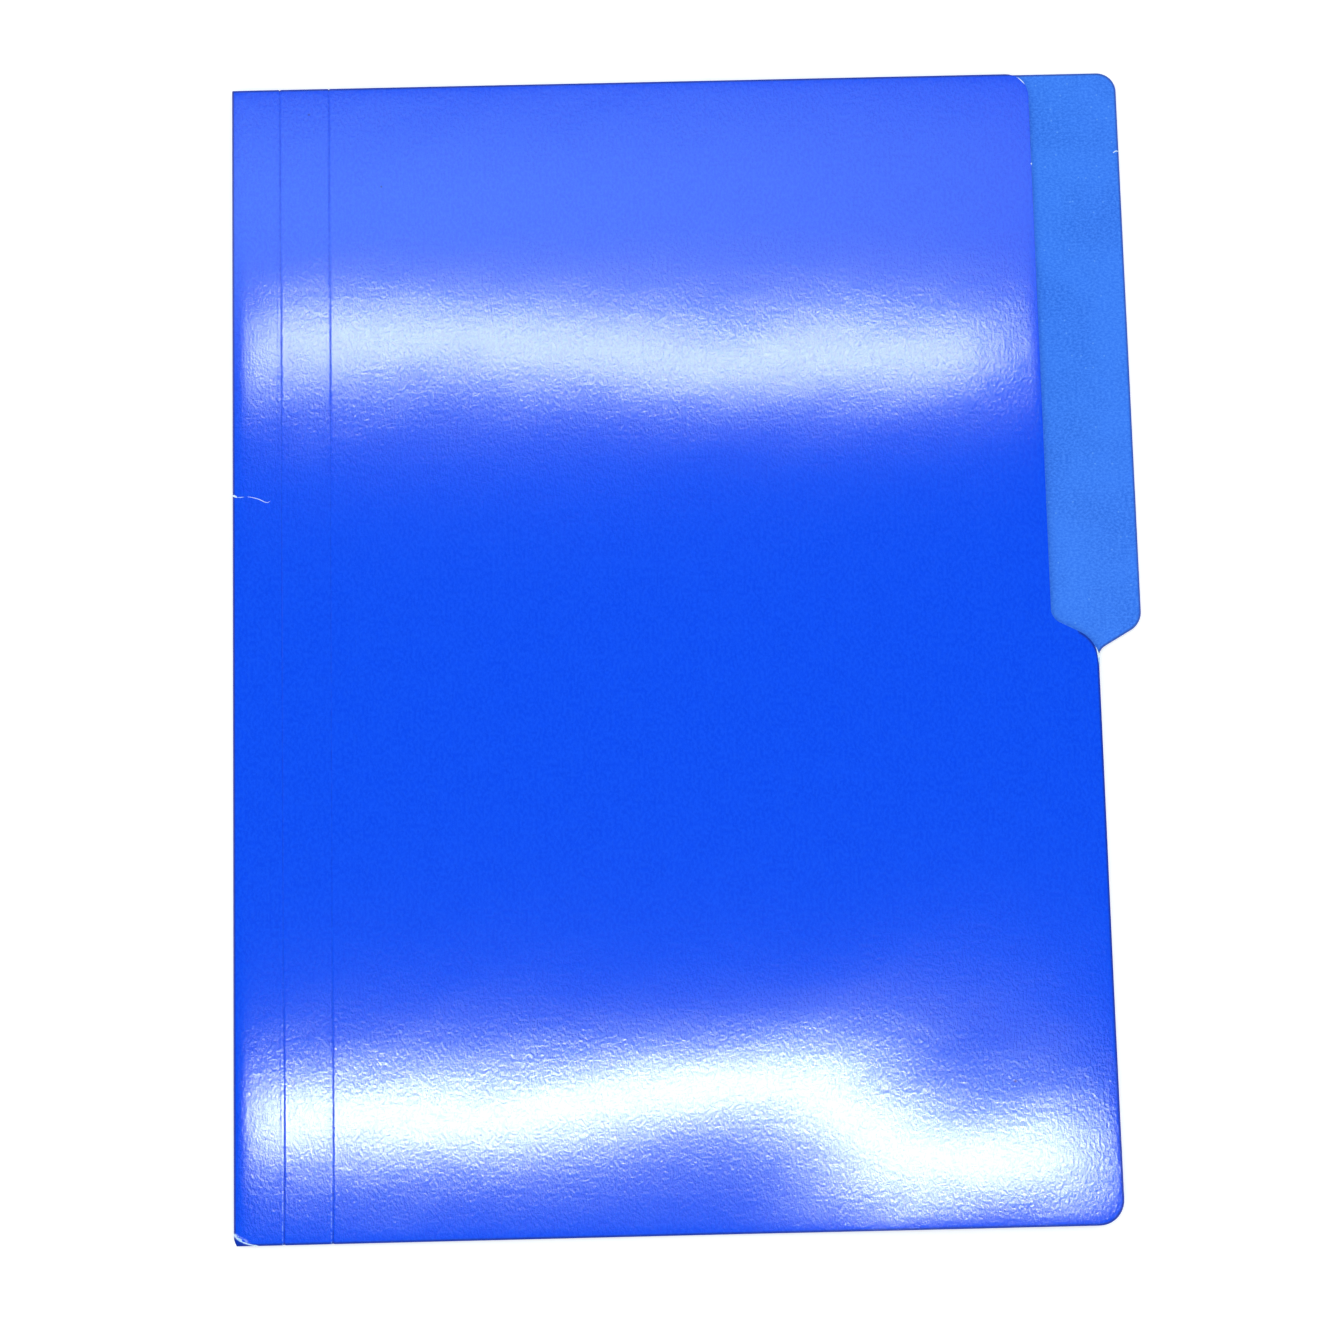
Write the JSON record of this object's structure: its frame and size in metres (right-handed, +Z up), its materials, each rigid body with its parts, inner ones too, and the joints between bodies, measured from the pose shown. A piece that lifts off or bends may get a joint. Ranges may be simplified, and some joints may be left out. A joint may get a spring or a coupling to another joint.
{
  "type": "document folder",
  "caption": "Flat file folder of coated card for letter paper, folded once, with a half-cut tab on the back leaf and expansion score lines beside the fold.",
  "frame": {"origin": "under the middle of the closed folder's box, on the outer face of the back leaf", "axes": "+X runs along the fold from the end with the tab, +Y from the fold to the open edge, and +Z up out of the front leaf"},
  "size_m": [0.2984, 0.2338, 0.0012],
  "materials": {
    "coated_face": "satin",
    "inside_face": "matte"
  },
  "bodies": {
    "back_leaf": {"back_leaf": "inside_face", "spine_fold": "coated_face"},
    "first_expansion_strip": {"first_expansion_strip": "coated_face"},
    "second_expansion_strip": {"second_expansion_strip": "coated_face"},
    "front_leaf": {"front_leaf": "coated_face"}
  },
  "joints": [
    {"name": "cover_opening", "type": "hinge", "parent": "back_leaf", "child": "first_expansion_strip", "pos_m": [0, -0.11628, 0.0006], "axis": [1, 0, 0], "range_deg": [0, 180]},
    {"name": "score_1", "type": "hinge", "parent": "first_expansion_strip", "child": "second_expansion_strip", "pos_m": [0, -0.10418, 0.001], "axis": [1, 0, 0], "range_deg": [0, 90]},
    {"name": "score_2", "type": "hinge", "parent": "second_expansion_strip", "child": "front_leaf", "pos_m": [0, -0.09148, 0.00068], "axis": [1, 0, 0], "range_deg": [-90, 0]}
  ],
  "couplings": [
    {"joint": "score_2", "follows": "score_1", "ratio": -1}
  ]
}
